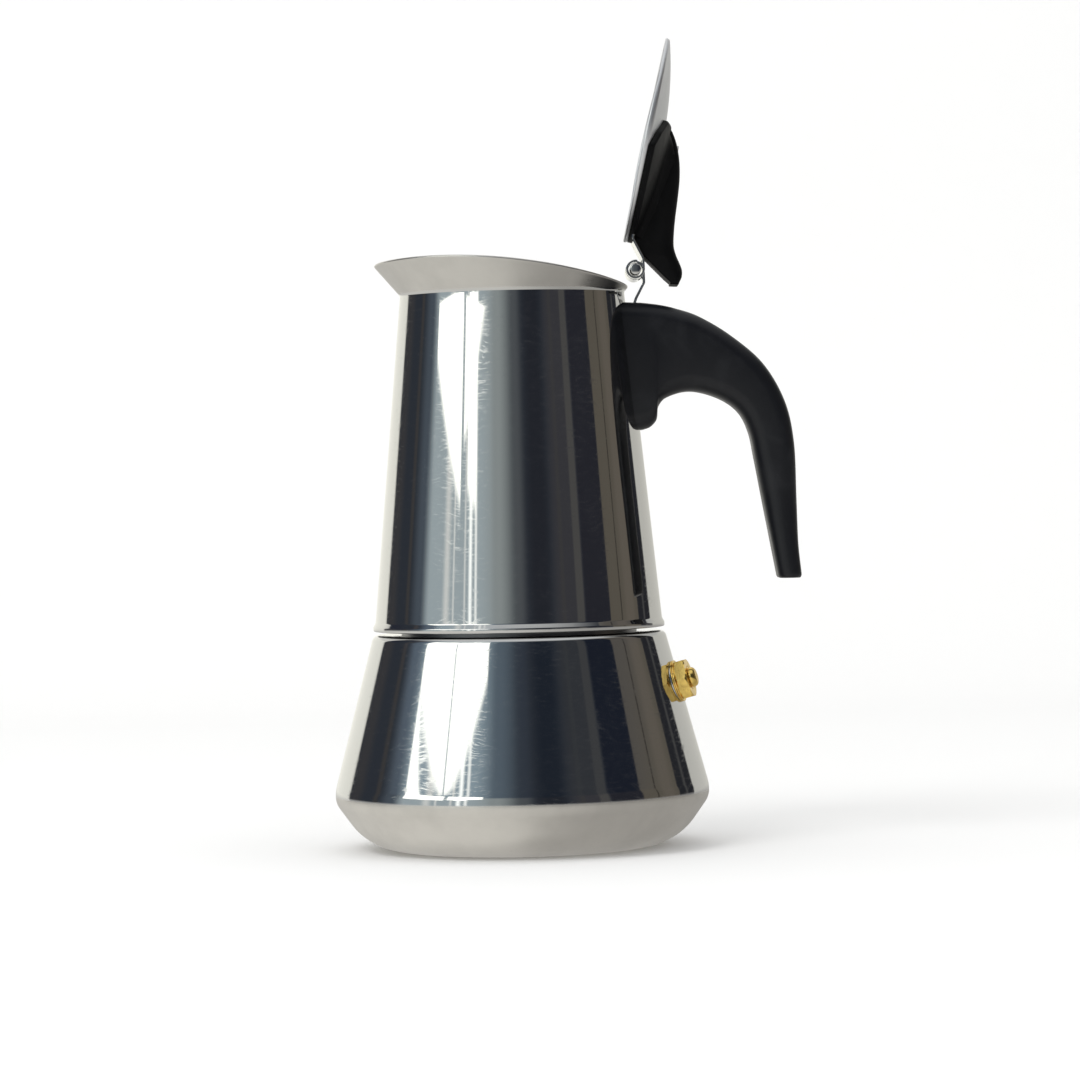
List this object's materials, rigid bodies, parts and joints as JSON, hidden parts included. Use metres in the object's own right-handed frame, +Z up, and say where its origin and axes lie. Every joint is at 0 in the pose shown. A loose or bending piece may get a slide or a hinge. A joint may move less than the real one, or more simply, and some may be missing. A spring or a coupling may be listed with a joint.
{
  "type": "moka pot",
  "caption": "Stove-top coffee maker: conical boiler, tapered pot with flared rim, hinged domed lid with fin knob, hooked handle, safety valve.",
  "frame": {"origin": "centre of the boiler's flat base, on the hob", "axes": "+Z up, +X from the pot's axis to the handle, -Y towards the side where the safety valve shows; the lid stands open"},
  "size_m": [0.1258, 0.1, 0.2157],
  "materials": {
    "polished_steel": "mirror-polished stainless sheet with fine rubbed lines",
    "satin_steel": "satin stainless sheet",
    "inner_steel": "plain pressed stainless",
    "hinge_steel": "stamped stainless strip and pin",
    "screw_steel": "zinc-bright steel screws",
    "black_handle": "satin black phenolic",
    "black_knob": "semi-gloss black phenolic",
    "valve_brass": "turned brass",
    "spring_steel": "drawn spring wire",
    "silicone": "white silicone"
  },
  "bodies": {
    "boiler": {"boiler_bottom": "satin_steel", "boiler_shell": "polished_steel", "boiler_neck": "inner_steel", "funnel_cup": "inner_steel", "funnel_sieve": "inner_steel", "funnel_tube": "inner_steel", "valve_body": "valve_brass", "valve_washer": "valve_brass", "valve_seal": "silicone", "valve_nut": "valve_brass", "valve_spring": "spring_steel", "valve_retainer": "valve_brass"},
    "valve_pin": {"valve_pin": "valve_brass"},
    "seal": {"gasket": "silicone", "filter_plate": "inner_steel"},
    "pot": {"pot_shell": "polished_steel", "pot_floor": "inner_steel", "pot_collar": "inner_steel", "column": "inner_steel", "column_cap": "inner_steel", "handle_bracket": "hinge_steel", "handle": "black_handle", "handle_screw": "screw_steel", "handle_washer": "screw_steel", "hinge_pin": "hinge_steel"},
    "lid": {"lid_shell": "satin_steel", "lid_leaf": "hinge_steel", "lid_knob": "black_knob", "knob_screws": "screw_steel", "knob_washers": "screw_steel"}
  },
  "joints": [
    {"name": "pot_rise", "type": "slide", "parent": "boiler", "child": "seal", "axis": [0, 0, 1], "range_m": [0, 0.0121]},
    {"name": "pot_turn", "type": "hinge", "parent": "seal", "child": "pot", "pos_m": [0, 0, 0], "axis": [0, 0, 1], "range_deg": [0, 1080]},
    {"name": "lid_hinge", "type": "hinge", "parent": "pot", "child": "lid", "pos_m": [0.03295, 0, 0.15345], "axis": [0, -1, 0], "range_deg": [0, 103]},
    {"name": "valve_pin_travel", "type": "slide", "parent": "boiler", "child": "valve_pin", "axis": [0.9418, -0.2174, 0.2566], "range_m": [0, 0.0015], "stiffness_N_per_m": 400, "springref_m": -0.003, "deforming": ["valve_spring"]}
  ],
  "couplings": [
    {"joint": "pot_rise", "follows": "pot_turn", "m_per_rad": 0.00063662}
  ]
}
